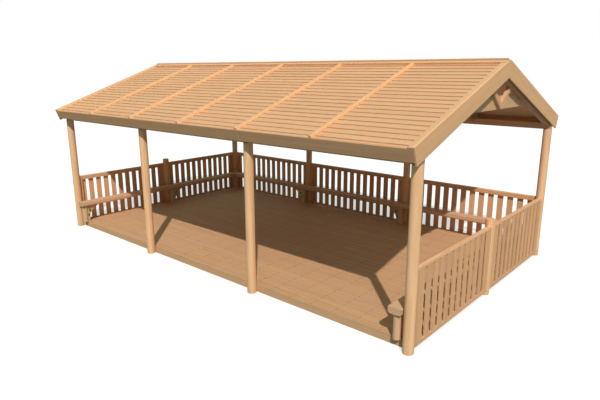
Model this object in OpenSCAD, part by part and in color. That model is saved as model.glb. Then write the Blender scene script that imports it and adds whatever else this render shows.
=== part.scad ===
// Apex roof shelter: round posts, slatted sides, a bench round three sides and a boarded roof.
// Millimetres. X runs along the ridge, the open long side faces -Y and Z is up from the ground.

/* [Frame] */
// Distance between post centres along the length
bay = 2800; // [2500:10:3100]
// Distance between the front and back rows of post centres
frame_w = 4710; // [4300:10:5100]
// Diameter of the full height posts
post_d = 130; // [110:1:150]
// Height of the full height posts
post_h = 2382; // [2250:1:2550]
// Diameter of the short post halfway along each end
dwarf_d = 130; // [110:1:150]
// Height of the short posts above the handrail
dwarf_rise = 100; // [20:1:200]
// Width of the eaves beams on the posts
beam_w = 90; // [70:1:110]
// Depth of the eaves beams
beam_h = 112; // [90:1:140]
// Clearance between pieces that are fitted round or between posts
fit = 0.3; // [0.1:0.1:0.8]

/* [Deck] */
// Height of the deck's surface above the ground
deck_h = 120; // [100:1:150]
// Thickness of the deck boards
deck_board_t = 28; // [20:1:36]
// Width that the deck boards are cut near to
deck_board_w = 138; // [90:1:150]
// Gap between deck boards
deck_gap = 5; // [3:1:10]
// Width of the joists under the deck
joist_w = 45; // [35:1:60]
// Greatest distance between joist centres
joist_pitch = 400; // [300:10:600]
// Thickness of the board along the deck's front edge
edge_t = 25; // [18:1:32]

/* [Panels] */
// Height of the handrail's top above the ground
rail_h = 1124; // [1000:1:1200]
// Width of the handrail
capping_w = 70; // [60:1:110]
// Thickness of the handrail
capping_t = 35; // [20:1:50]
// Height of the slats' lower ends above the ground
panel_foot = 65; // [30:1:100]
// Width of a slat
slat_w = 111; // [90:1:130]
// Thickness of a slat
slat_t = 20; // [12:1:26]
// Slats in each panel along the back
back_slats = 14; // [10:1:16]
// Slats in each panel at the ends
end_slats = 12; // [8:1:14]
// Distance from the post centres out to the face of the slats
slat_face = 55; // [40:1:65]
// Depth of the panel's rails and stiles behind the slats
rail_t = 45; // [35:1:60]
// Depth of a panel's top rail
top_rail_h = 50; // [40:1:90]
// Depth of a panel's bottom rail
bottom_rail_h = 90; // [60:1:120]
// Depth of the strip between the slats' lower ends, flush with their faces
skirt_h = 62; // [40:1:90]
// Width of stile that shows beside a panel's outer slats
stile_show = 50; // [30:1:90]
// Width of stile behind a panel's outer slats
stile_lap = 15; // [5:1:40]

/* [Bench] */
// Height of the seat above the deck
seat_h = 453; // [380:1:480]
// Width of the seat planks
seat_w = 200; // [170:1:210]
// Thickness of the seat planks
seat_t = 96; // [70:1:110]
// Radius of the seat planks' lower edges
under_r = 40; // [15:1:45]
// Distance from the post centres in to the middle of the bench
bench_set = 187; // [180:1:220]
// Distance that the seats run past the front posts' centres
seat_past = 52; // [0:1:80]
// Diameter of the bench legs
leg_d = 108; // [80:1:120]
// Distance from the front post centres back to the front legs
leg_back = 30; // [20:1:120]
// Thickness of the brackets beside the legs
bracket_t = 60; // [40:1:75]
// Radius of a bracket's curve between its leg and the seat
curve_r = 208; // [150:1:215]
// Depth of a bracket's nose
nose_h = 28; // [15:1:60]
// Depth of a bracket's toe past its leg
toe = 25; // [5:1:40]

/* [Roof] */
// Slope of the roof in degrees
pitch = 20; // [16:0.5:24]
// Distance from the outer posts' centres to the ends of the roof
verge_overhang = 87; // [75:1:300]
// Distance from the post centres out to the eaves
eave_overhang = 259; // [200:1:400]
// Width of the rafters
rafter_w = 80; // [60:1:100]
// Depth of the rafters between the eaves beams
rafter_d = 212; // [180:1:230]
// Depth of the rafters' tails over the eaves beams
tail_d = 124; // [100:1:140]
// Height of the collar ties above the beams
collar_up = 366; // [300:1:420]
// Depth of the collar ties
collar_h = 188; // [140:1:220]
// Thickness of the collar ties
collar_t = 45; // [35:1:60]
// Distance from the collar ties' ends to the rafters' top edges
collar_in = 15; // [5:1:40]
// Width of the struts over the collar ties
strut_w = 76; // [55:1:90]
// Thickness of the struts
strut_t = 46; // [40:1:60]
// Slope of the struts in degrees
strut_slope = 38; // [32:1:45]
// Length of roof board that shows in each course
course = 127; // [100:1:150]
// Length of the lowest course that shows
first_course = 95; // [70:1:130]
// Thickness of the roof boards at the thin edge
board_thin = 18; // [10:1:22]
// Thickness of the roof boards at the lap
board_lap = 32; // [24:1:40]
// Width of the cover battens
batten_w = 70; // [45:1:90]
// Thickness of the cover battens
batten_t = 22; // [16:1:45]
// Width of the ridge boards
cap_w = 100; // [80:1:115]
// Thickness of the ridge boards
cap_t = 30; // [22:1:40]
// Width of the barge boards
barge_w = 235; // [180:1:260]
// Thickness of the barge boards
barge_t = 25; // [18:1:32]
// Width of the fascia boards
fascia_w = 170; // [130:1:200]
// Thickness of the fascia boards
fascia_t = 25; // [18:1:32]

/* [Hidden] */
$fn = 48;
post_r = post_d / 2;
leg_r = leg_d / 2;
half_w = frame_w / 2;
end_x = 1.5 * bay;
post_xs = [for (i = [0:3]) (i - 1.5) * bay];
truss_xs = [for (i = [-3:3]) i * bay / 2];

deck_hx = end_x - max(post_d, dwarf_d) / 2 - fit;
deck_hy = half_w - post_r - fit;
deck_rows = round((2 * deck_hy + deck_gap) / (deck_board_w + deck_gap));
deck_row = (2 * deck_hy + deck_gap) / deck_rows;
joist_gaps = ceil((2 * deck_hx - joist_w) / joist_pitch);

capping_z = rail_h - capping_t;
panel_mid = slat_face - (slat_t + rail_t) / 2;
rails_in = slat_face - slat_t - rail_t;

seat_side = seat_w / 2;
seat_top = deck_h + seat_h;
seat_z = seat_top - seat_t;
seat_core = seat_top - seat_t / 2;
bench_x = end_x - bench_set;
bench_y = half_w - bench_set;
bracket_reach = leg_r + toe + curve_r;

beam_top = post_h + beam_h;
heel_y = half_w + beam_w / 2;
inner_y = half_w - beam_w / 2;
apex_z = beam_top + heel_y * tan(pitch) + tail_d / cos(pitch);
under_z = apex_z - rafter_d / cos(pitch);
cover_top = board_lap + batten_t;
cap_top = board_lap + cap_t;
cap_lap = cap_t / (2 * sin(pitch));
roof_hx = end_x + verge_overhang;
verge_x = roof_hx - barge_t;
eave_s = (half_w + eave_overhang - cover_top * sin(pitch)) / cos(pitch);
inner_s = eave_s - fascia_t;
first_s = eave_s - first_course;
last_lap = floor(first_s / course - 0.5);
collar_z = beam_top + collar_up;

// Point of the front slope: s down from the ridge along the rafters' tops, n up from them
function slope(s, n) = [-s * cos(pitch) - n * sin(pitch), apex_z - s * sin(pitch) + n * cos(pitch)];

// Point of the plane over the ridge's middle at height n from the rafters' tops
function ridge(n) = [0, apex_z + n / cos(pitch)];

// Half length of a collar tie at height z
function collar_y(z) = (apex_z - collar_in / cos(pitch) - z) / tan(pitch);

// Extrude an outline of Y and Z along X
module along_x(x0, x1) {
    translate([x0, 0, 0]) rotate([90, 0, 90]) linear_extrude(x1 - x0) children();
}

// Repeat the front half of the roof at the back
module at_back() {
    mirror([0, 1, 0]) children();
}

// Repeat what is at the right end at the left end
module at_left() {
    mirror([1, 0, 0]) children();
}

// Plank along the slope between two levels, from the ridge to a distance down
module slope_plank(x0, x1, n0, n1, s) {
    along_x(x0, x1) polygon([ridge(n0), ridge(n1), slope(s, n1), slope(s, n0)]);
}

module post(x, y) {
    color("burlywood") translate([x, y, 0]) cylinder(h = post_h, d = post_d);
}

module dwarf_post() {
    color("burlywood") translate([end_x, 0, 0]) cylinder(h = rail_h + dwarf_rise, d = dwarf_d);
}

module front_eaves_beam() {
    color("tan") translate([-verge_x, -half_w - beam_w / 2, post_h]) cube([2 * verge_x, beam_w, beam_h]);
}

// Rafters that butt on the beam's inner face, with shallow tails over it to the eaves
module front_rafters() {
    color("tan") for (x = truss_xs) along_x(x - rafter_w / 2, x + rafter_w / 2) polygon([
        ridge(0), slope(inner_s, 0), slope(inner_s, -tail_d),
        [-heel_y, beam_top], [-inner_y, beam_top],
        [-inner_y, under_z - inner_y * tan(pitch)], [0, under_z]
    ]);
}

// Deep ties on the inner faces of the rafters
module collar_ties() {
    top = collar_z + collar_h;
    color("burlywood") for (x = truss_xs) {
        inside = x < 0 ? x + rafter_w / 2 : x - rafter_w / 2 - collar_t;
        along_x(inside, inside + collar_t) polygon([
            [-collar_y(collar_z), collar_z], [collar_y(collar_z), collar_z],
            [collar_y(top), top], [-collar_y(top), top]
        ]);
    }
}

// Struts from the middle of each collar tie up to the rafters
module front_struts() {
    rise = strut_w / cos(strut_slope);
    spread = tan(strut_slope) + tan(pitch);
    upper = (under_z - collar_z - rise) / spread;
    lower = (under_z - collar_z) / spread;
    color("burlywood") for (x = truss_xs) {
        outer = x < 0 ? x + rafter_w / 2 - strut_t : x - rafter_w / 2;
        along_x(outer, outer + strut_t) polygon([
            [0, collar_z], [0, collar_z + rise],
            [-upper, under_z - upper * tan(pitch)], [-lower, under_z - lower * tan(pitch)]
        ]);
    }
}

// Lapped boards: each course is thin where it slips under the next and thick at its lap
module front_roof_boards() {
    laps = [for (k = [0:last_lap]) first_s - k * course];
    color("burlywood") along_x(-verge_x, verge_x) polygon(concat(
        [ridge(0), slope(inner_s, 0), slope(inner_s, board_lap)],
        [for (s = laps, n = [board_thin, board_lap]) slope(s, n)],
        [ridge(board_lap)]
    ));
}

// Cover battens over the trusses and along the verges, from the ridge boards to the eaves
module front_roof_battens() {
    inner = [for (x = truss_xs) if (abs(x) < end_x) x];
    edge = verge_x - batten_w / 2;
    color("wheat") for (x = concat(inner, [-edge, edge]))
        along_x(x - batten_w / 2, x + batten_w / 2) polygon([
            slope(cap_w, board_lap), slope(cap_w, cover_top),
            slope(eave_s, cover_top), slope(eave_s, board_lap)
        ]);
}

// Ridge board that butts under the one at the back
module front_ridge_cap() {
    short = (cap_lap - cap_top * sin(pitch)) / cos(pitch);
    color("tan") along_x(-verge_x, verge_x) polygon([
        ridge(board_lap), slope(short, cap_top), slope(cap_w, cap_top), slope(cap_w, board_lap)
    ]);
}

// Ridge board that runs on over the other one, drawn as if it were at the front
module back_ridge_cap() {
    past = (cap_lap + board_lap * sin(pitch)) / cos(pitch);
    color("tan") along_x(-verge_x, verge_x) polygon([
        slope(-past, board_lap), slope(-past, cap_top), slope(cap_w, cap_top), slope(cap_w, board_lap)
    ]);
}

module front_right_barge() {
    color("burlywood") slope_plank(verge_x, roof_hx, cover_top - barge_w, cover_top, eave_s);
}

module front_fascia() {
    color("burlywood") along_x(-verge_x, verge_x) polygon([
        slope(inner_s, board_lap), slope(eave_s, board_lap),
        slope(eave_s, board_lap - fascia_w), slope(inner_s, board_lap - fascia_w)
    ]);
}

module deck_boards() {
    color("tan") for (i = [0:deck_rows - 1])
        translate([-deck_hx, i * deck_row - deck_hy, deck_h - deck_board_t])
            cube([2 * deck_hx, deck_row - deck_gap, deck_board_t]);
}

module deck_joists() {
    step = (2 * deck_hx - joist_w) / joist_gaps;
    color("tan") for (i = [0:joist_gaps])
        translate([i * step - deck_hx, edge_t - deck_hy, 0])
            cube([joist_w, 2 * deck_hy - edge_t, deck_h - deck_board_t]);
}

module deck_front_edge() {
    color("tan") translate([-deck_hx, -deck_hy, 0]) cube([2 * deck_hx, edge_t, deck_h - deck_board_t]);
}

// Slatted panel that fills a length along X, with its outer face towards +Y
module panel(length, slats) {
    frame_t = slat_face - rails_in;
    height = capping_z - panel_foot;
    step = (length - 2 * stile_show - slat_w) / (slats - 1);
    color("burlywood") translate([0, 0, panel_foot]) {
        for (x = [0, length - stile_show])
            translate([x, rails_in, 0]) cube([stile_show, frame_t, height]);
        for (x = [0, length - stile_show - stile_lap])
            translate([x, rails_in, 0]) cube([stile_show + stile_lap, rail_t, height]);
        translate([0, rails_in, 0]) cube([length, rail_t, bottom_rail_h]);
        translate([0, rails_in, 0]) cube([length, frame_t, skirt_h]);
        translate([0, rails_in, height - top_rail_h]) cube([length, rail_t, top_rail_h]);
        for (i = [0:slats - 1])
            translate([stile_show + i * step, slat_face - slat_t, 0]) cube([slat_w, slat_t, height]);
    }
}

module capping(length) {
    color("wheat") translate([0, panel_mid - capping_w / 2, capping_z])
        cube([length, capping_w, capping_t]);
}

// Place something between two posts along the back
module in_back_bay(i) {
    translate([post_xs[i] + post_r + fit, half_w, 0]) children();
}

// Place something between the front post and the short post at the right end
module in_front_half() {
    translate([end_x, -dwarf_d / 2 - fit, 0]) rotate(-90) children();
}

// Place something between the short post and the back post at the right end
module in_back_half() {
    translate([end_x, half_w - post_r - fit, 0]) rotate(-90) children();
}

module back_panel(i) {
    in_back_bay(i) panel(bay - post_d - 2 * fit, back_slats);
}

module end_panel() {
    panel(half_w - post_r - dwarf_d / 2 - 2 * fit, end_slats);
}

module end_handrails() {
    in_front_half() capping(half_w - post_r - dwarf_d / 2 - 2 * fit);
    in_back_half() capping(half_w - post_r - dwarf_d / 2 - 2 * fit);
}

module handrails() {
    for (i = [0:2]) in_back_bay(i) capping(bay - post_d - 2 * fit);
    end_handrails();
    at_left() end_handrails();
}

// Outline of a seat plank under its top, with rounded lower edges
module seat_outline() {
    flat = seat_side - under_r;
    translate([-seat_side, under_r - seat_t]) square([seat_w, seat_t - under_r]);
    translate([-flat, -seat_t]) square([2 * flat, seat_t]);
    for (x = [-flat, flat]) translate([x, under_r - seat_t]) circle(under_r);
}

// Everything behind the mitre at the back right corner of the bench
module mitre_block() {
    translate([bench_x, bench_y, seat_z - seat_t]) rotate(45)
        translate([-2 * end_x, 0, 0]) cube([4 * end_x, 2 * end_x, 3 * seat_t]);
}

module right_seat() {
    color("burlywood") difference() {
        translate([bench_x, bench_y + seat_side, seat_top]) rotate([90, 0, 0])
            linear_extrude(bench_y + seat_side + half_w + seat_past) seat_outline();
        mitre_block();
    }
}

module back_seat() {
    color("burlywood") intersection() {
        translate([-bench_x - seat_side, bench_y, seat_top]) rotate([90, 0, 90])
            linear_extrude(2 * (bench_x + seat_side)) seat_outline();
        mitre_block();
        at_left() mitre_block();
    }
}

module seats() {
    right_seat();
    at_left() right_seat();
    back_seat();
}

module leg(x, y) {
    translate([x, y, deck_h]) cylinder(h = seat_core - deck_h, d = leg_d);
}

module end_legs() {
    leg(bench_x, leg_back - half_w);
    leg(bench_x, 0);
    leg(bench_x, bench_y);
}

// Round legs up to the undersides of the seats
module bench_legs() {
    color("burlywood") difference() {
        union() {
            end_legs();
            at_left() end_legs();
            for (i = [1, 2]) leg(post_xs[i], bench_y);
        }
        seats();
    }
}

// Bracket that hugs a leg at the origin and curves out along under the seat towards -X
module bracket() {
    foot_z = seat_z - nose_h - curve_r;
    difference() {
        translate([0, bracket_t / 2, 0]) rotate([90, 0, 0]) linear_extrude(bracket_t) difference() {
            translate([-bracket_reach, foot_z]) square([bracket_reach, seat_core - foot_z]);
            translate([-bracket_reach, foot_z]) circle(curve_r);
        }
        translate([0, 0, deck_h]) cylinder(h = seat_top, r = leg_r + fit);
    }
}

module end_brackets() {
    for (y = [leg_back - half_w, 0]) translate([bench_x, y, 0]) rotate(-90) bracket();
}

module bench_brackets() {
    color("burlywood") difference() {
        union() {
            end_brackets();
            at_left() end_brackets();
            for (i = [1, 2]) translate([post_xs[i], bench_y, 0]) bracket();
        }
        seats();
    }
}

post(post_xs[0], -half_w);  // front_post_1
post(post_xs[1], -half_w);  // front_post_2
post(post_xs[2], -half_w);  // front_post_3
post(post_xs[3], -half_w);  // front_post_4
post(post_xs[0], half_w);  // back_post_1
post(post_xs[1], half_w);  // back_post_2
post(post_xs[2], half_w);  // back_post_3
post(post_xs[3], half_w);  // back_post_4
at_left() dwarf_post();  // left_dwarf_post
dwarf_post();  // right_dwarf_post
front_eaves_beam();
at_back() front_eaves_beam();  // back_eaves_beam
front_rafters();
at_back() front_rafters();  // back_rafters
collar_ties();
front_struts();
at_back() front_struts();  // back_struts
front_roof_boards();
at_back() front_roof_boards();  // back_roof_boards
front_roof_battens();
at_back() front_roof_battens();  // back_roof_battens
front_ridge_cap();
at_back() back_ridge_cap();
at_left() front_right_barge();  // front_left_barge
front_right_barge();
at_left() at_back() front_right_barge();  // back_left_barge
at_back() front_right_barge();  // back_right_barge
front_fascia();
at_back() front_fascia();  // back_fascia
deck_boards();
deck_joists();
deck_front_edge();
back_panel(0);  // back_panel_1
back_panel(1);  // back_panel_2
back_panel(2);  // back_panel_3
at_left() in_front_half() end_panel();  // left_panel_front
at_left() in_back_half() end_panel();  // left_panel_back
in_front_half() end_panel();  // right_panel_front
in_back_half() end_panel();  // right_panel_back
handrails();
at_left() right_seat();  // left_seat
back_seat();
right_seat();
bench_legs();
bench_brackets();
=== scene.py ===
import math
import random

import bmesh
import bpy
from mathutils import Matrix, Vector, noise

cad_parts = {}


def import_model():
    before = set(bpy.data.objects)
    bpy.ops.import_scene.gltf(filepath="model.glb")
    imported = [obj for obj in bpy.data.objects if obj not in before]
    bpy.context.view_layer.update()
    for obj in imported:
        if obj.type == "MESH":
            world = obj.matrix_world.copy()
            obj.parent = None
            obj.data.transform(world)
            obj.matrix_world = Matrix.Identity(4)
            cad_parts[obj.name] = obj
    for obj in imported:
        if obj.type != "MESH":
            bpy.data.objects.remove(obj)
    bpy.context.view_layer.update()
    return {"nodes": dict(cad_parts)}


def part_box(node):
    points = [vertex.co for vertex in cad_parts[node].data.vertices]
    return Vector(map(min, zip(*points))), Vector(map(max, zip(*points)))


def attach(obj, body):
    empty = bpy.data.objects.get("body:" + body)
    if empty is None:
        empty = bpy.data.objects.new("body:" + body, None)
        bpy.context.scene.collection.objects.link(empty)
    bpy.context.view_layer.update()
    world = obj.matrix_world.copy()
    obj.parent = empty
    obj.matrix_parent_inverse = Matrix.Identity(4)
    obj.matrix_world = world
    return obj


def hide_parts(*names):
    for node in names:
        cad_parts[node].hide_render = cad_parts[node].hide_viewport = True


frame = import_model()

# Sizes of the shelter in metres, as in the part's source
BAY = 2.8
HALF_W = 2.355
END_X = 1.5 * BAY
POST_XS = [(i - 1.5) * BAY for i in range(4)]
POST_H = 2.382
POST_R = 0.065
DWARF_R = 0.065
FIT = 0.0003

DECK_H = 0.12
DECK_BOARD_T = 0.028
DECK_BOARD_W = 0.138
DECK_GAP = 0.005
DECK_HX = END_X - max(POST_R, DWARF_R) - FIT
DECK_HY = HALF_W - POST_R - FIT
JOIST_W = 0.045
JOIST_PITCH = 0.4

RAIL_H = 1.124
CAPPING_T = 0.035
CAPPING_Z = RAIL_H - CAPPING_T
PANEL_FOOT = 0.065
SLAT_W = 0.111
SLAT_T = 0.02
BACK_SLATS = 14
END_SLATS = 12
SLAT_FACE = 0.055
RAIL_T = 0.045
TOP_RAIL_H = 0.05
SKIRT_H = 0.062
STILE_SHOW = 0.05
STILE_LAP = 0.015

SEAT_H = 0.453
SEAT_TOP = DECK_H + SEAT_H
SEAT_SIDE = 0.1
SEAT_T = 0.096
UNDER_R = 0.04
SEAT_Z = SEAT_TOP - SEAT_T
SEAT_PAST = 0.052
SEAT_FRONT = -HALF_W - SEAT_PAST
BENCH_SET = 0.187
BENCH_X = END_X - BENCH_SET
BENCH_Y = HALF_W - BENCH_SET
LEG_R = 0.054
LEG_BACK = 0.03
LEG_FRONT = LEG_BACK - HALF_W
BRACKET_T = 0.06

PITCH = math.radians(20)
STRUT_SLOPE = math.radians(38)
TRUSS_XS = [i * BAY / 2 for i in range(-3, 4)]
BEAM_W = 0.09
BEAM_H = 0.112
TAIL_D = 0.124
BOARD_THIN = 0.018
BOARD_LAP = 0.032
COURSE = 0.127
FIRST_COURSE = 0.095
VERGE_W = 0.07
BATTEN_T = 0.022
CAP_W = 0.1
BARGE_T = 0.025
FASCIA_T = 0.025
VERGE_OVERHANG = 0.087
EAVE_OVERHANG = 0.259
VERGE_X = END_X + VERGE_OVERHANG - BARGE_T
COVER_TOP = BOARD_LAP + BATTEN_T
APEX_Z = POST_H + BEAM_H + (HALF_W + BEAM_W / 2) * math.tan(PITCH) + TAIL_D / math.cos(PITCH)
EAVE_S = (HALF_W + EAVE_OVERHANG - COVER_TOP * math.sin(PITCH)) / math.cos(PITCH)
INNER_S = EAVE_S - FASCIA_T
FIRST_S = EAVE_S - FIRST_COURSE
LAST_LAP = math.floor(FIRST_S / COURSE - 0.5)
LAPS = [FIRST_S - k * COURSE for k in range(LAST_LAP + 1)]

# Sizes read more closely from the photograph than the solids have them
POST_SWELL = 0.008
BATTEN_W = 0.042
BATTEN_RISE = 0.014
BOTTOM_RAIL_H = 0.06
DECK_CLOSE = 0.0012
CURVE_R = 0.2
CURVE_SAG = 0.5
NOSE_H = 0.03
TOE = 0.036

# Eased edges, which only the scene has, and the angles that count as sharp or bent
EASE = 0.003
FINE_EASE = 0.002
BOARD_EASE = 0.0022
DECK_EASE = 0.0015
SLAT_EASE = 0.0025
ROUND_EASE = 0.006
EASE_STEP = 0.3
SHARP = math.radians(38)
BEND = math.radians(25)

# Uneven sides of logs and planks: how far they swell and how quickly that changes
LOG_RING = 0.12
LOG_SWELL = 0.0006
LOG_APART = 7
LOG_ROUND = 1.3
LOG_ALONG = 2.5
PLANK_ALONG = 2.2
PLANK_ROUND = 9

# Grain: the length it is picked from and how squarely an end faces, and how squarely a side faces to
# take the painted highlight
GRAIN_LENGTH = 60
END_FACING = 0.8
HIGHLIGHT_FACING = 0.6

# Joints between boards: their cracks, and the joists that the deck's joints lie on in turn
ROOF_CRACK = 0.0006
BATTEN_GAP = 0.0004
DECK_CRACK = 0.0008
JOINT_JOISTS = (7, 14, 10, 4, 17)

# Screws, nails and bolt caps, which only the scene has
DOME = ((1, -1), (1, 0.35), (0.72, 0.85), (0.3, 1))
HEAD_RISE = 0.0005
SCREW_R = 0.0085
SCREW_INSET = 0.026
SCREW_APART = 0.012
NAIL_R = 0.0038
NAIL_RISE = 0.014
NAIL_SHARES = (0.25, 0.75)
CAP_SPOTS = ((0.098, 0.375), (0.068, 0.27))
CAP_R = 0.028
CAP_RISE = 0.016

rng = random.Random(7)


# Places: each maps local distances to the shelter's frame
def world(a, o, z):
    return Vector((a, o, z))


def back_bay(i):
    return lambda a, o, z: Vector((POST_XS[i] + POST_R + FIT + a, HALF_W + o, z))


def end_half(side, y_start):
    return lambda a, o, z: Vector((side * (END_X + o), y_start - a, z))


def roof_slope(side):
    cos, sin = math.cos(PITCH), math.sin(PITCH)
    return lambda x, s, n: Vector((x, side * (s * cos + n * sin), APEX_Z - s * sin + n * cos))


class Piece:
    """One visible piece, gathered from timbers that each carry their own grain."""

    def __init__(self, name):
        self.name = name
        self.bm = bmesh.new()
        self.grain = self.bm.verts.layers.float_vector.new("grain")
        self.tint = self.bm.verts.layers.float.new("tint")
        self.end = self.bm.faces.layers.float.new("end")

    def take(self, part, run, pith=0.06):
        """Moves a small mesh in, with grain along run from a random place in the log."""
        u = run.normalized()
        aside = Vector((1, 0, 0)) if abs(u.x) < 0.9 else Vector((0, 1, 0))
        w = u.cross(aside).normalized()
        v = w.cross(u)
        middle = sum((p.co for p in part.verts), Vector()) / len(part.verts)
        along = rng.uniform(0, GRAIN_LENGTH)
        shift = Vector((along, rng.uniform(-pith, pith), rng.uniform(-pith, pith)))
        tone = rng.uniform(-1, 1)
        part.normal_update()
        made = {}
        for p in part.verts:
            q = self.bm.verts.new(p.co)
            d = p.co - middle
            q[self.grain] = Vector((d.dot(u), d.dot(v), d.dot(w))) + shift
            q[self.tint] = tone
            made[p] = q
        for f in part.faces:
            g = self.bm.faces.new([made[p] for p in f.verts])
            g.smooth = True
            g[self.end] = 1.0 if abs(f.normal.dot(u)) > END_FACING else 0.0
        part.free()

    def prism(self, place, outline, a0, a1, run=(1, 0, 0), ease=FINE_EASE, segments=1):
        """Outline of the second and third local distances, drawn out along the first."""
        part = bmesh.new()
        low = [part.verts.new(place(a0, o, z)) for o, z in outline]
        high = [part.verts.new(place(a1, o, z)) for o, z in outline]
        part.faces.new(low)
        part.faces.new(high[::-1])
        for i in range(len(outline)):
            j = (i + 1) % len(outline)
            part.faces.new((low[j], low[i], high[i], high[j]))
        bmesh.ops.recalc_face_normals(part, faces=part.faces)
        soften(part, ease, segments)
        self.take(part, place(*run) - place(0, 0, 0))

    def box(self, place, low, high, run=(1, 0, 0), ease=FINE_EASE, segments=1):
        outline = [(low[1], low[2]), (high[1], low[2]), (high[1], high[2]), (low[1], high[2])]
        self.prism(place, outline, low[0], high[0], run, ease, segments)

    def dress(self, node, ease):
        """Every timber of a CAD node again, with eased edges."""
        for part in timbers_of(node):
            soften(part, ease, segments=2)
            self.take(part, longest(part))

    def log(self, x, y, z0, z1, radius, sides=40, ease=ROUND_EASE):
        """Round timber with eased ends and a slightly uneven side."""
        part = bmesh.new()
        spans = max(2, round((z1 - z0) / LOG_RING))
        step = EASE_STEP * ease
        rings = [(z0, radius - ease), (z0 + step, radius - step), (z0 + ease, radius)]
        rings += [(z0 + (z1 - z0) * i / spans, radius) for i in range(1, spans)]
        rings += [(z1 - ease, radius), (z1 - step, radius - step), (z1, radius - ease)]
        loops = []
        for z, r in rings:
            loop = []
            for i in range(sides):
                a = 2 * math.pi * i / sides
                p = Vector((math.cos(a), math.sin(a), 0))
                spot = Vector((x, y, 0)) * LOG_APART + p * LOG_ROUND + Vector((0, 0, z * LOG_ALONG))
                swell = LOG_SWELL * noise.noise(spot)
                loop.append(part.verts.new(Vector((x, y, z)) + p * (r + swell)))
            loops.append(loop)
        skin(part, loops)
        self.take(part, Vector((0, 0, 1)), pith=0.012)

    def plank(self, place, run, a0, a1, spans, turns=8, ease=ROUND_EASE):
        """Seat plank with rounded lower edges, an eased top and slightly uneven sides."""
        part = bmesh.new()
        step = EASE_STEP * ease
        section = [(SEAT_SIDE - ease, 0), (SEAT_SIDE - step, -step), (SEAT_SIDE, -ease)]
        for i in range(turns + 1):
            turn = math.pi / 2 * i / turns
            section.append((SEAT_SIDE - UNDER_R * (1 - math.cos(turn)),
                            UNDER_R * (1 - math.sin(turn)) - SEAT_T))
        section += [(-o, z) for o, z in reversed(section)]
        loops = []
        for i in range(spans + 1):
            a = a0 + (a1 - a0) * i / spans
            loop = []
            for o, z in section:
                p = place(a, o, SEAT_TOP + z)
                spot = Vector((p.x, p.y, 0)) * PLANK_ALONG + Vector((0, o, z)) * PLANK_ROUND
                swell = LOG_SWELL * noise.noise(spot)
                away = 1 + (swell / SEAT_SIDE if z < -ease else 0)
                loop.append(part.verts.new(place(a, o * away, SEAT_TOP + z * away)))
            loops.append(loop)
        skin(part, loops)
        bmesh.ops.recalc_face_normals(part, faces=part.faces)
        soften(part, EASE, segments=2)
        self.take(part, run, pith=0.05)

    def bracket(self, foot, run):
        """Bracket that hugs a leg from the deck up and curves out along under the seat."""
        part = bmesh.new()
        across = Vector((0, 0, 1)).cross(run)
        steps = 8
        turns = 16
        rows = []
        for j in range(steps + 1):
            w = BRACKET_T * (j / steps - 0.5)
            low = SEAT_Z - NOSE_H - CURVE_R
            spots = [(math.sqrt((LEG_R + FIT) ** 2 - w * w), DECK_H), (LEG_R + TOE, DECK_H)]
            for i in range(turns + 1):
                share = i / turns
                arc = math.pi / 2 * share
                out = share + CURVE_SAG * (1 - math.cos(arc) - share)
                rise = share + CURVE_SAG * (math.sin(arc) - share)
                spots.append((LEG_R + TOE + CURVE_R * out, low + CURVE_R * rise))
            lows, highs = [], []
            for d, z in spots:
                p = foot + run * d + across * w
                lows.append(part.verts.new((p.x, p.y, z)))
                highs.append(part.verts.new((p.x, p.y, SEAT_Z)))
            rows.append(lows + highs[::-1])
        skin(part, rows)
        bmesh.ops.recalc_face_normals(part, faces=part.faces)
        soften(part, EASE, segments=2)
        self.take(part, run + Vector((0, 0, 1)))

    def stud(self, point, normal, radius, rise, sides=8):
        """Low domed head on a surface."""
        part = bmesh.new()
        n = normal.normalized()
        side = n.orthogonal().normalized()
        other = n.cross(side)
        turns = [2 * math.pi * i / sides for i in range(sides)]
        ring = [side * math.cos(a) + other * math.sin(a) for a in turns]
        loops = []
        for r, h in DOME:
            loops.append([part.verts.new(point + n * (h * rise) + d * (r * radius)) for d in ring])
        skin(part, loops)
        self.take(part, n)

    def make(self, material, slot, *nodes):
        mesh = bpy.data.meshes.new(self.name)
        self.bm.normal_update()
        self.bm.to_mesh(mesh)
        self.bm.free()
        mesh.set_sharp_from_angle(angle=SHARP)
        mesh.materials.append(material)
        obj = bpy.data.objects.new(self.name, mesh)
        bpy.context.scene.collection.objects.link(obj)
        even = obj.modifiers.new("even", "WEIGHTED_NORMAL")
        even.keep_sharp = True
        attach(obj, "root")
        if nodes:
            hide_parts(*nodes)
        return obj


def skin(part, loops):
    """Closed surface over loops of points, with a face at each end."""
    for below, above in zip(loops, loops[1:]):
        for i in range(len(below)):
            j = (i + 1) % len(below)
            part.faces.new((below[i], below[j], above[j], above[i]))
    part.faces.new(loops[0][::-1])
    part.faces.new(loops[-1])


def soften(part, width, segments):
    """Eases the sharp edges of a timber."""
    edges = [e for e in part.edges if len(e.link_faces) == 2 and e.calc_face_angle(0) > BEND]
    bmesh.ops.bevel(part, geom=edges, offset=width, offset_type="OFFSET", segments=segments,
                    profile=0.5, affect="EDGES", clamp_overlap=True)


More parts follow.
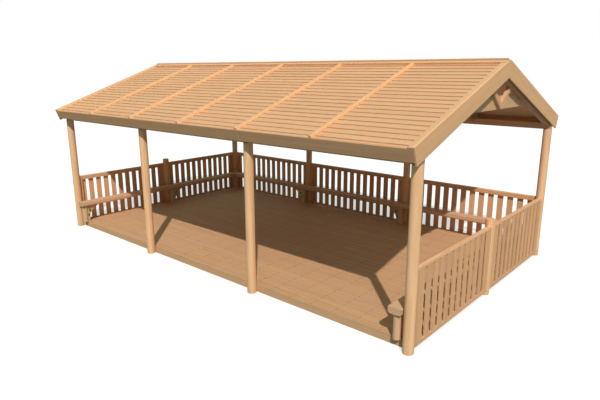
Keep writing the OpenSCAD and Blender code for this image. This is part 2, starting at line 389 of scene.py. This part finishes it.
def timbers_of(node):
    """Each separate solid of a CAD node as a clean mesh."""
    whole = bmesh.new()
    whole.from_mesh(frame["nodes"][node].data)
    bmesh.ops.remove_doubles(whole, verts=whole.verts, dist=1e-5)
    bmesh.ops.dissolve_limit(whole, angle_limit=math.radians(1), verts=whole.verts, edges=whole.edges)
    whole.faces.ensure_lookup_table()
    seen = set()
    parts = []
    for start in whole.faces:
        if start in seen:
            continue
        group, todo = [], [start]
        seen.add(start)
        while todo:
            face = todo.pop()
            group.append(face)
            for edge in face.edges:
                for other in edge.link_faces:
                    if other not in seen:
                        seen.add(other)
                        todo.append(other)
        part = bmesh.new()
        made = {}
        for face in group:
            for p in face.verts:
                if p not in made:
                    made[p] = part.verts.new(p.co)
            part.faces.new([made[p] for p in face.verts])
        bmesh.ops.recalc_face_normals(part, faces=part.faces)
        parts.append(part)
    whole.free()
    return parts


def longest(part):
    """The direction that a timber runs in, of those that the shelter's timbers have."""
    runs = [Vector((1, 0, 0)), Vector((0, 1, 0)), Vector((0, 0, 1))]
    for angle in (PITCH, -PITCH, STRUT_SLOPE, -STRUT_SLOPE):
        runs.append(Vector((0, math.cos(angle), math.sin(angle))))

    def reach(run):
        along = [p.co.dot(run) for p in part.verts]
        return max(along) - min(along)
    return max(runs, key=reach)


# Wood figure: scales along and across the grain, and how much each part shows
FIBRES = (5, 260, 260)
STREAKS = (0.9, 22, 22)
DRIFT = (0.8, 6, 6)
CLOUDS = (1.6, 3, 3)
KNOT_SPOTS = (1.3, 8, 8)
RING_TURNS = 520.0
RING_DRIFT = 14.0
RING_POWER = 1.8
RING_SHARE = 0.34
STREAK_SHARE = 0.62
FIBRE_SHARE = 0.34
DARKER = (0.30, 0.40, 0.5)
PALER = (0.16, 0.19, 0.22)
PALEST = 0.95
KNOT_TONE = (0.42, 0.3, 0.22)
LEVEL = 1.08
CLOUD_LEVEL = 0.14
END_LEVEL = -0.06
KNOT_CORE = 0.05
KNOT_EDGE = 0.17
FIGURE_LOW = 0.3
FIGURE_HIGH = 0.95
DULLEST = 0.94
RICHEST = 1.06
WOOD_SMOOTHER = 0.08
WOOD_ROUGHER = 0.12
WOOD_SHINE = 0.08
RING_HEIGHT = 0.35
FIBRE_HEIGHT = 0.8
KNOT_HEIGHT = 0.5
WOOD_BUMP = 0.35
WOOD_DEPTH = 0.0012

# Surface of the fixings
SPECKLES = (900, 900, 900)
WEAR = (160, 160, 160)
WORN_DARK = 0.75
WORN_PALE = 1.25
FIXING_SMOOTHER = 0.1
FIXING_ROUGHER = 0.15
FIXING_BUMP = 0.2
FIXING_DEPTH = 0.0003


# Materials
def linear(*srgb):
    return [((c / 255 + 0.055) / 1.055) ** 2.4 if c > 10 else c / 255 / 12.92 for c in srgb]


class Nodes:
    """Short way to add and join the shader nodes of a material or of the sky."""

    def __init__(self, owner):
        self.owner = owner
        owner.use_nodes = True
        self.tree = owner.node_tree

    def add(self, kind, links=(), **settings):
        node = self.tree.nodes.new(kind)
        for key, value in settings.items():
            setattr(node, key, value)
        for socket, source in dict(links).items():
            if isinstance(source, bpy.types.NodeSocket):
                self.tree.links.new(source, node.inputs[socket])
            else:
                node.inputs[socket].default_value = source
        return node

    def attribute(self, name, output):
        return self.add("ShaderNodeAttribute", attribute_name=name).outputs[output]

    def scaled(self, vector, scale):
        return self.add("ShaderNodeVectorMath", {0: vector, 1: scale}, operation="MULTIPLY").outputs[0]

    def noise(self, vector, detail, rough=0.55, distortion=0.0):
        links = {"Vector": vector, "Scale": 1.0, "Detail": detail, "Roughness": rough,
                 "Distortion": distortion}
        return self.add("ShaderNodeTexNoise", links).outputs[0]

    def maths(self, operation, a, b=0.0, c=0.0):
        return self.add("ShaderNodeMath", {0: a, 1: b, 2: c}, operation=operation).outputs[0]

    def fit(self, value, low, high, to_low, to_high):
        links = {0: value, 1: low, 2: high, 3: to_low, 4: to_high}
        return self.add("ShaderNodeMapRange", links).outputs[0]

    def ramp(self, value, first, last, middle=None):
        node = self.add("ShaderNodeValToRGB", {0: value})
        stops = node.color_ramp.elements
        stops[0].color = (*first, 1)
        stops[1].color = (*last, 1)
        if middle:
            stops.new(0.5).color = (*middle, 1)
        return node.outputs[0]

    def seen(self):
        """One where the camera looks, straight, by reflection or through glass, and otherwise nought."""
        path = self.add("ShaderNodeLightPath")
        seen = path.outputs["Is Camera Ray"]
        for kind in ("Is Glossy Ray", "Is Transmission Ray"):
            seen = self.maths("MAXIMUM", seen, path.outputs[kind])
        return seen

    def link(self, source, socket, node="Principled BSDF"):
        self.tree.links.new(source, self.tree.nodes[node].inputs[socket])

    def set(self, value, socket, node="Principled BSDF"):
        self.tree.nodes[node].inputs[socket].default_value = value

    def bump(self, height, strength, distance):
        links = {"Height": height, "Strength": strength, "Distance": distance}
        self.link(self.add("ShaderNodeBump", links).outputs[0], "Normal")


def timber(name, colour, figure=0.5, variety=0.06, rough=0.62, knots=0.5):
    """Planed softwood: fibres, broad streaks, growth rings, a few knots and darker end grain."""
    n = Nodes(bpy.data.materials.new(name))
    grain = n.attribute("grain", "Vector")
    tint = n.attribute("tint", "Fac")
    end = n.attribute("end", "Fac")
    fibres = n.noise(n.scaled(grain, FIBRES), detail=4, rough=0.6)
    streaks = n.noise(n.scaled(grain, STREAKS), detail=3, distortion=0.4)
    drift = n.noise(n.scaled(grain, DRIFT), detail=2)
    clouds = n.noise(n.scaled(grain, CLOUDS), detail=2)
    across = n.scaled(grain, (0, 1, 1))
    radial = n.add("ShaderNodeVectorMath", {0: across}, operation="LENGTH").outputs["Value"]
    turns = n.maths("MULTIPLY_ADD", drift, RING_DRIFT, n.maths("MULTIPLY", radial, RING_TURNS))
    rings = n.fit(n.maths("SINE", turns), -1, 1, 0, 1)
    rings = n.maths("POWER", rings, RING_POWER)
    cells = {"Vector": n.scaled(grain, KNOT_SPOTS), "Scale": 1.0, "Randomness": 1.0}
    spots = n.add("ShaderNodeTexVoronoi", cells).outputs["Distance"]
    knot = n.fit(spots, KNOT_CORE, KNOT_EDGE, knots, 0)
    fig = n.maths("MULTIPLY_ADD", rings, RING_SHARE, n.maths("MULTIPLY", streaks, STREAK_SHARE))
    fig = n.maths("MULTIPLY_ADD", fibres, FIBRE_SHARE, fig)
    fig = n.fit(fig, FIGURE_LOW, FIGURE_HIGH, 0, 1)
    dark = [c * (1 - k * figure) for c, k in zip(colour, DARKER)]
    pale = [min(PALEST, c * (1 + k * figure)) for c, k in zip(colour, PALER)]
    figured = n.ramp(fig, pale, dark, colour)
    level = n.maths("MULTIPLY_ADD", tint, variety, LEVEL)
    level = n.maths("MULTIPLY_ADD", clouds, CLOUD_LEVEL, n.maths("SUBTRACT", level, CLOUD_LEVEL / 2))
    level = n.maths("MULTIPLY_ADD", end, END_LEVEL, level)
    links = {"Color": figured, "Value": level, "Hue": 0.5,
             "Saturation": n.fit(clouds, 0, 1, DULLEST, RICHEST)}
    shade = n.add("ShaderNodeHueSaturation", links)
    core = [c * k for c, k in zip(colour, KNOT_TONE)]
    knotty = n.add("ShaderNodeMix", {0: knot, 6: shade.outputs[0], 7: (*core, 1)}, data_type="RGBA")
    n.link(knotty.outputs[2], "Base Color")
    n.link(n.fit(fig, 0, 1, rough - WOOD_SMOOTHER, rough + WOOD_ROUGHER), "Roughness")
    n.set(WOOD_SHINE, "Specular IOR Level")
    height = n.maths("MULTIPLY_ADD", rings, RING_HEIGHT, n.maths("MULTIPLY", fibres, FIBRE_HEIGHT))
    n.bump(n.maths("MULTIPLY_ADD", knot, KNOT_HEIGHT, height), WOOD_BUMP, WOOD_DEPTH)
    return n.owner


def moulded(name, colour, rough, metal=0.0):
    """Small fixings: moulded or plated, with fine speckle and wear."""
    n = Nodes(bpy.data.materials.new(name))
    grain = n.attribute("grain", "Vector")
    speckles = n.noise(n.scaled(grain, SPECKLES), detail=3)
    wear = n.noise(n.scaled(grain, WEAR), detail=2)
    dark = [c * WORN_DARK for c in colour]
    pale = [min(PALEST, c * WORN_PALE) for c in colour]
    n.link(n.ramp(wear, dark, pale), "Base Color")
    n.link(n.fit(speckles, 0, 1, rough - FIXING_SMOOTHER, rough + FIXING_ROUGHER), "Roughness")
    n.set(metal, "Metallic")
    n.bump(speckles, FIXING_BUMP, FIXING_DEPTH)
    return n.owner


post_wood = timber("post_wood", linear(237, 187, 138), figure=0.4, variety=0.02, knots=0.2)
# Darker wood for the rafters: painted shade for their undersides and sides under the roof
shaded_rafter_wood = timber("shaded_rafter_wood", linear(184, 142, 103), figure=0.5)
tie_wood = timber("tie_wood", linear(218, 170, 124), figure=0.5)
roof_wood = timber("roof_wood", linear(215, 169, 126), figure=0.36, variety=0.03, knots=0.15)
trim_wood = timber("trim_wood", linear(222, 175, 131), figure=0.4, variety=0.03, knots=0.15)
# Darker wood for the back ridge cap: painted shade for its edge seen from the front
shaded_ridge_wood = timber("shaded_ridge_wood", linear(194, 143, 97), figure=0.4, variety=0.03, knots=0.15)
barge_wood = timber("barge_wood", linear(226, 175, 126), figure=0.42, variety=0.03, knots=0.15)
# Darker wood for the fascias: painted shade for their down-facing fronts
shaded_fascia_wood = timber("shaded_fascia_wood", linear(195, 150, 107), figure=0.42, variety=0.03, knots=0.15)
deck_wood = timber("deck_wood", linear(204, 161, 119), figure=0.5, variety=0.035, knots=0.2)
panel_wood = timber("panel_wood", linear(220, 170, 123), figure=0.5, variety=0.05, knots=0.25)
rail_wood = timber("rail_wood", linear(230, 180, 134), figure=0.45, variety=0.03, knots=0.2)
bench_wood = timber("bench_wood", linear(214, 172, 132), figure=0.45, variety=0.03, knots=0.2)
# Paler wood for the battens' long sides: a painted highlight
painted_highlight_wood = timber("painted_highlight_wood", linear(243, 199, 147), figure=0.25, variety=0.02, knots=0.0)
cap_green = moulded("cap_green", linear(20, 138, 24), rough=0.4)
steel = moulded("steel", linear(84, 66, 50), rough=0.5, metal=0.3)


# Camera at the photograph's viewing angle
AZIMUTH = math.radians(41.243)
ELEVATION = math.radians(14.092)
ROLL = math.radians(-0.123)
EYE = Vector((7.0335, -7.6194, 3.4303))
SENSOR = 36.0
FOCAL_PX = 520.92
PHOTO_W = 600


def camera():
    level = Vector((math.sin(AZIMUTH), -math.cos(AZIMUTH), 0))
    back = level * math.cos(ELEVATION) + Vector((0, 0, math.sin(ELEVATION)))
    right = Vector((math.cos(AZIMUTH), math.sin(AZIMUTH), 0))
    up = back.cross(right)
    turn = Matrix((right, up, back)).transposed()
    data = bpy.data.cameras.new("camera")
    data.sensor_width = SENSOR
    data.lens = SENSOR * FOCAL_PX / PHOTO_W
    cam = bpy.data.objects.new("camera", data)
    cam.matrix_world = Matrix.Translation(EYE) @ (turn @ Matrix.Rotation(ROLL, 3, "Z")).to_4x4()
    bpy.context.scene.collection.objects.link(cam)
    bpy.context.scene.camera = cam


# Posts
def posts():
    for row, y in (("front", -HALF_W), ("back", HALF_W)):
        for i, x in enumerate(POST_XS):
            node = f"{row}_post_{i + 1}"
            p = Piece(node + "_log")
            low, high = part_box(node)
            p.log(x, y, low.z, high.z, POST_R + POST_SWELL)
            p.make(post_wood, "posts", node)
    for side, x in (("left", -END_X), ("right", END_X)):
        node = side + "_dwarf_post"
        p = Piece(node + "_log")
        low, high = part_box(node)
        p.log(x, 0, low.z, high.z, DWARF_R + POST_SWELL)
        p.make(post_wood, "posts", node)


# Frame, roof edges, joists and handrails: the CAD timbers again with eased edges
def frame_timbers():
    barges = [f"{row}_{end}_barge" for row in ("front", "back") for end in ("left", "right")]
    beams = ("front_eaves_beam", "back_eaves_beam")
    truss = ("collar_ties", "front_struts", "back_struts")
    for nodes, material, slot, ease in (
        (("front_rafters", "back_rafters"), shaded_rafter_wood, "frame_timber", EASE),
        (beams + truss, tie_wood, "frame_timber", EASE),
        (("front_ridge_cap",), trim_wood, "roof_trim", EASE),
        (("back_ridge_cap",), shaded_ridge_wood, "roof_trim", EASE),
        (barges, barge_wood, "barge_boards", EASE),
        (("front_fascia", "back_fascia"), shaded_fascia_wood, "barge_boards", EASE),
        (("deck_joists", "deck_front_edge"), deck_wood, "deck", FINE_EASE),
        (("handrails",), rail_wood, "handrails", ROUND_EASE),
    ):
        for node in nodes:
            p = Piece(node + "_timber")
            p.dress(node, ease)
            p.make(material, slot, node)


# Lapped roof boards, cut at the trusses, with their joints under the battens
def roof_boards():
    joints = [-VERGE_X] + TRUSS_XS[1:-1] + [VERGE_X]
    laps = [INNER_S] + LAPS
    for name, side in (("front", -1), ("back", 1)):
        place = roof_slope(side)
        p = Piece(name + "_lapped_boards")
        for k, low in enumerate(laps):
            if k + 1 < len(laps):
                up = laps[k + 1] + ROOF_CRACK
                head = [(up, BOARD_THIN), (up, 0)]
            else:
                head = [(ROOF_CRACK - BOARD_LAP * math.tan(PITCH), BOARD_LAP), (ROOF_CRACK, 0)]
            outline = [(low - ROOF_CRACK, 0), (low - ROOF_CRACK, BOARD_LAP)] + head
            for x0, x1 in zip(joints, joints[1:]):
                p.prism(place, outline, x0 + ROOF_CRACK, x1 - ROOF_CRACK, ease=BOARD_EASE)
        p.make(roof_wood, "roof_boards", name + "_roof_boards")


def paint_highlight_on_sides(battens):
    """Gives the battens' long sides a paler wood: a painted highlight on their sides."""
    battens.data.materials.append(painted_highlight_wood)
    for face in battens.data.polygons:
        if abs(face.normal.x) > HIGHLIGHT_FACING:
            face.material_index = 1


# Cover battens over the joints and along the verges, cut to fit over the laps
def roof_battens():
    edge = VERGE_X - VERGE_W / 2
    battens = [(x, BATTEN_W, BATTEN_RISE) for x in TRUSS_XS[1:-1]]
    battens += [(-edge, VERGE_W, 0), (edge, VERGE_W, 0)]
    for name, side in (("front", -1), ("back", 1)):
        place = roof_slope(side)
        p = Piece(name + "_fitted_battens")
        under = []
        for s in LAPS:
            under += [(s, BOARD_THIN + BATTEN_GAP), (s, BOARD_LAP + BATTEN_GAP)]
        under.append((CAP_W, BOARD_LAP + BATTEN_GAP))
        for x, width, rise in battens:
            top, foot = COVER_TOP + rise, EAVE_S - rise * math.tan(PITCH)
            outline = [(CAP_W, top), (foot, top), (foot, BOARD_LAP + BATTEN_GAP)] + under
            p.prism(place, outline, x - width / 2, x + width / 2, run=(0, 1, 0))
        # The battens' long sides get the painted highlight
        paint_highlight_on_sides(p.make(roof_wood, "roof_trim", name + "_roof_battens"))


# Deck boards with joints on the joists, and their screws
def deck():
    rows = round((2 * DECK_HY + DECK_GAP) / (DECK_BOARD_W + DECK_GAP))
    row = (2 * DECK_HY + DECK_GAP) / rows
    gaps = math.ceil((2 * DECK_HX - JOIST_W) / JOIST_PITCH)
    joists = [i * (2 * DECK_HX - JOIST_W) / gaps - DECK_HX + JOIST_W / 2 for i in range(gaps + 1)]
    boards = Piece("deck_planks")
    screws = Piece("deck_screws")
    for i in range(rows):
        y0 = i * row - DECK_HY - (DECK_CLOSE if i else 0)
        y1 = (i + 1) * row - DECK_HY - DECK_GAP + (DECK_CLOSE if i + 1 < rows else 0)
        joint = joists[JOINT_JOISTS[i % len(JOINT_JOISTS)]]
        for x0, x1 in ((-DECK_HX, joint - DECK_CRACK), (joint + DECK_CRACK, DECK_HX)):
            boards.box(world, (x0, y0, DECK_H - DECK_BOARD_T), (x1, y1, DECK_H), ease=DECK_EASE)
        for x in joists:
            for y in (y0 + SCREW_INSET, y1 - SCREW_INSET):
                for dx in ((-SCREW_APART, SCREW_APART) if x == joint else (0,)):
                    screws.stud(Vector((x + dx, y, DECK_H)), Vector((0, 0, 1)), SCREW_R, HEAD_RISE)
    boards.make(deck_wood, "deck", "deck_boards")
    screws.make(steel, "fixings")


# Slatted panels: stiles, rails behind the slats and a strip below them
def panel(node, place, length, slats, nails):
    p = Piece(node + "_slats")
    inside, outside = SLAT_FACE - SLAT_T - RAIL_T, SLAT_FACE - SLAT_T
    stile = STILE_SHOW + STILE_LAP

    def upright(z, a, o):
        return place(a, o, z)

    def far(z, a, o):
        return place(length - a, o, z)
    lap = [(0, inside), (stile, inside), (stile, outside),
           (STILE_SHOW, outside), (STILE_SHOW, SLAT_FACE), (0, SLAT_FACE)]
    for end in (upright, far):
        p.prism(end, lap, PANEL_FOOT, CAPPING_Z)
    low, high = PANEL_FOOT + BOTTOM_RAIL_H, CAPPING_Z - TOP_RAIL_H
    skirt = PANEL_FOOT + SKIRT_H
    p.box(place, (stile, inside, PANEL_FOOT), (length - stile, outside, low))
    p.box(place, (stile, inside, high), (length - stile, outside, CAPPING_Z))
    p.box(place, (STILE_SHOW, outside, PANEL_FOOT), (length - STILE_SHOW, SLAT_FACE, skirt))
    step = (length - 2 * STILE_SHOW - SLAT_W) / (slats - 1)
    out = place(0, 1, 0) - place(0, 0, 0)
    for i in range(slats):
        a = STILE_SHOW + i * step
        corner = (a + SLAT_W, SLAT_FACE, CAPPING_Z)
        p.box(place, (a, outside, skirt), corner, run=(0, 0, 1), ease=SLAT_EASE, segments=2)
        for z in (skirt + NAIL_RISE, (high + CAPPING_Z) / 2):
            for share in NAIL_SHARES:
                nails.stud(place(a + share * SLAT_W, SLAT_FACE, z), out, NAIL_R, HEAD_RISE)
    p.make(panel_wood, "panels", node)


def panels():
    nails = Piece("slat_nails")
    for i in range(len(POST_XS) - 1):
        panel(f"back_panel_{i + 1}", back_bay(i), BAY - 2 * POST_R - 2 * FIT, BACK_SLATS, nails)
    half = HALF_W - POST_R - DWARF_R - 2 * FIT
    for name, side in (("left", -1), ("right", 1)):
        panel(name + "_panel_front", end_half(side, -DWARF_R - FIT), half, END_SLATS, nails)
        panel(name + "_panel_back", end_half(side, HALF_W - POST_R - FIT), half, END_SLATS, nails)
    nails.make(steel, "fixings")


# Seat planks of the bench, mitred at the back corners
def seats():
    for name, side in (("left", -1), ("right", 1)):
        def end_seat(a, o, z):
            return Vector((side * (BENCH_X + o), SEAT_FRONT + a * (BENCH_Y + o - SEAT_FRONT), z))
        p = Piece(name + "_seat_plank")
        p.plank(end_seat, Vector((0, 1, 0)), 0, 1, spans=36)
        p.make(bench_wood, "bench", name + "_seat")

    def back_seat(a, o, z):
        return Vector((a * (BENCH_X + o), BENCH_Y + o, z))
    p = Piece("back_seat_plank")
    p.plank(back_seat, Vector((1, 0, 0)), -1, 1, spans=64)
    p.make(bench_wood, "bench", "back_seat")


# Round legs of the bench
def bench_legs():
    legs = Piece("bench_leg_logs")
    spots = [(side * BENCH_X, y) for side in (-1, 1) for y in (LEG_FRONT, 0, BENCH_Y)]
    spots += [(x, BENCH_Y) for x in POST_XS[1:3]]
    for x, y in spots:
        legs.log(x, y, DECK_H, SEAT_Z, LEG_R, sides=36, ease=EASE)
    legs.make(bench_wood, "bench", "bench_legs")


# Curved brackets of the bench, and the caps over their bolts
def bench_brackets():
    brackets = Piece("bench_bracket_knees")
    caps = Piece("bracket_bolt_caps")
    braced = [(side * BENCH_X, y, Vector((0, 1, 0)), Vector((-side, 0, 0)))
              for side in (-1, 1) for y in (LEG_FRONT, 0)]
    braced += [(x, BENCH_Y, Vector((-1, 0, 0)), Vector((0, -1, 0))) for x in POST_XS[1:3]]
    for x, y, run, room in braced:
        foot = Vector((x, y, 0))
        brackets.bracket(foot, run)
        for along, up in CAP_SPOTS:
            face = foot + run * along + room * (BRACKET_T / 2) + Vector((0, 0, up))
            caps.stud(face, room, CAP_R, CAP_RISE, sides=20)
    brackets.make(bench_wood, "bench", "bench_brackets")
    caps.make(cap_green, "bolt_caps")


# Ground and light: a white floor, a sun from behind the camera and a sky that brightens upwards
FLOOR_HALF = 70
FLOOR_GLOW = 0.54
FLOOR_CATCH = 0.53
FLOOR_BOUNCE = (0.24, 0.31, 0.35)
SUN_FROM = (0.502, -0.5, 0.705)
SUN_ENERGY = 2.85
SUN_TINT = (1.0, 0.94, 0.94)
SUN_ANGLE = math.radians(1)
SKY_LOW = 0.03
SKY_HIGH = 0.42
SKY_FULL = 0.55
SKY_TINT = (0.8, 1.1, 1.12)
WHITE = (1, 1, 1, 1)


def ground():
    s = FLOOR_HALF
    mesh = bpy.data.meshes.new("floor")
    mesh.from_pydata([(-s, -s, 0), (s, -s, 0), (s, s, 0), (-s, s, 0)], [], [(0, 1, 2, 3)])
    floor = bpy.data.objects.new("floor", mesh)
    bpy.context.scene.collection.objects.link(floor)
    n = Nodes(bpy.data.materials.new("floor"))
    glow = n.add("ShaderNodeEmission", {"Color": WHITE, "Strength": FLOOR_GLOW})
    catch = n.add("ShaderNodeBsdfDiffuse", {"Color": (FLOOR_CATCH, FLOOR_CATCH, FLOOR_CATCH, 1)})
    white = n.add("ShaderNodeAddShader", {0: glow.outputs[0], 1: catch.outputs[0]})
    bounce = n.add("ShaderNodeBsdfDiffuse", {"Color": (*FLOOR_BOUNCE, 1)})
    mix = n.add("ShaderNodeMixShader", {0: n.seen(), 1: bounce.outputs[0], 2: white.outputs[0]})
    n.link(mix.outputs[0], "Surface", "Material Output")
    n.tree.nodes.remove(n.tree.nodes["Principled BSDF"])
    mesh.materials.append(n.owner)


def sun():
    data = bpy.data.lights.new("sun", "SUN")
    data.energy = SUN_ENERGY
    data.color = SUN_TINT
    data.angle = SUN_ANGLE
    lamp = bpy.data.objects.new("sun", data)
    lamp.rotation_mode = "QUATERNION"
    lamp.rotation_quaternion = Vector(SUN_FROM).to_track_quat("Z", "Y")
    bpy.context.scene.collection.objects.link(lamp)


def sky():
    n = Nodes(bpy.data.worlds.new("sky"))
    look = n.add("ShaderNodeTexCoord")
    parts = n.add("ShaderNodeSeparateXYZ", {0: look.outputs["Generated"]})
    n.set((*SKY_TINT, 1), "Color", "Background")
    n.link(n.fit(parts.outputs["Z"], 0, SKY_FULL, SKY_LOW, SKY_HIGH), "Strength", "Background")
    light = n.tree.nodes["Background"]
    white = n.add("ShaderNodeBackground", {"Color": WHITE, "Strength": 1})
    mix = n.add("ShaderNodeMixShader", {0: n.seen(), 1: light.outputs[0], 2: white.outputs[0]})
    n.link(mix.outputs[0], "Surface", "World Output")
    bpy.context.scene.world = n.owner


camera()
posts()
frame_timbers()
roof_boards()
roof_battens()
deck()
panels()
seats()
bench_legs()
bench_brackets()
ground()
sun()
sky()
bpy.context.scene.view_settings.view_transform = "Standard"
